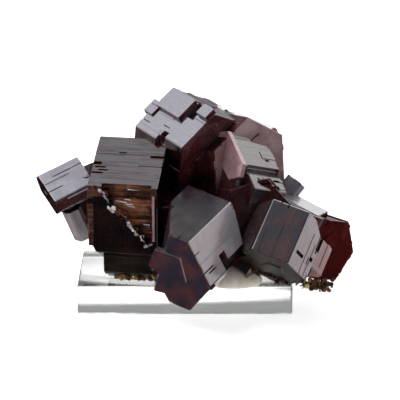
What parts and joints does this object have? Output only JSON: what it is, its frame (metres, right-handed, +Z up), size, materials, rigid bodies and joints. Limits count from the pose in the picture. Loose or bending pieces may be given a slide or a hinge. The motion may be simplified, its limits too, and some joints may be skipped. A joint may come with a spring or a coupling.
{
  "type": "vanadinite specimen",
  "caption": "Cluster of dark red hexagonal vanadinite crystals held with putty on a small clear acrylic block, for display on a shelf.",
  "frame": {"origin": "middle of the flat underside of the clear block", "axes": "+Z up, +X to the right along the block's long side, +Y away from the viewer"},
  "size_m": [0.0376, 0.0261, 0.0249],
  "materials": {
    "vanadinite": "glossy dark red-brown crystal, fine striations along each crystal",
    "matrix": "rough brown and pale yellow crumbs",
    "putty": "satin cream putty",
    "acrylic": "clear polished acrylic"
  },
  "bodies": {
    "root": {"vanadinite_crystals": "vanadinite", "matrix_crust_left": "matrix", "matrix_crust_right": "matrix", "mounting_putty": "putty", "clear_block": "acrylic"}
  },
  "joints": []
}
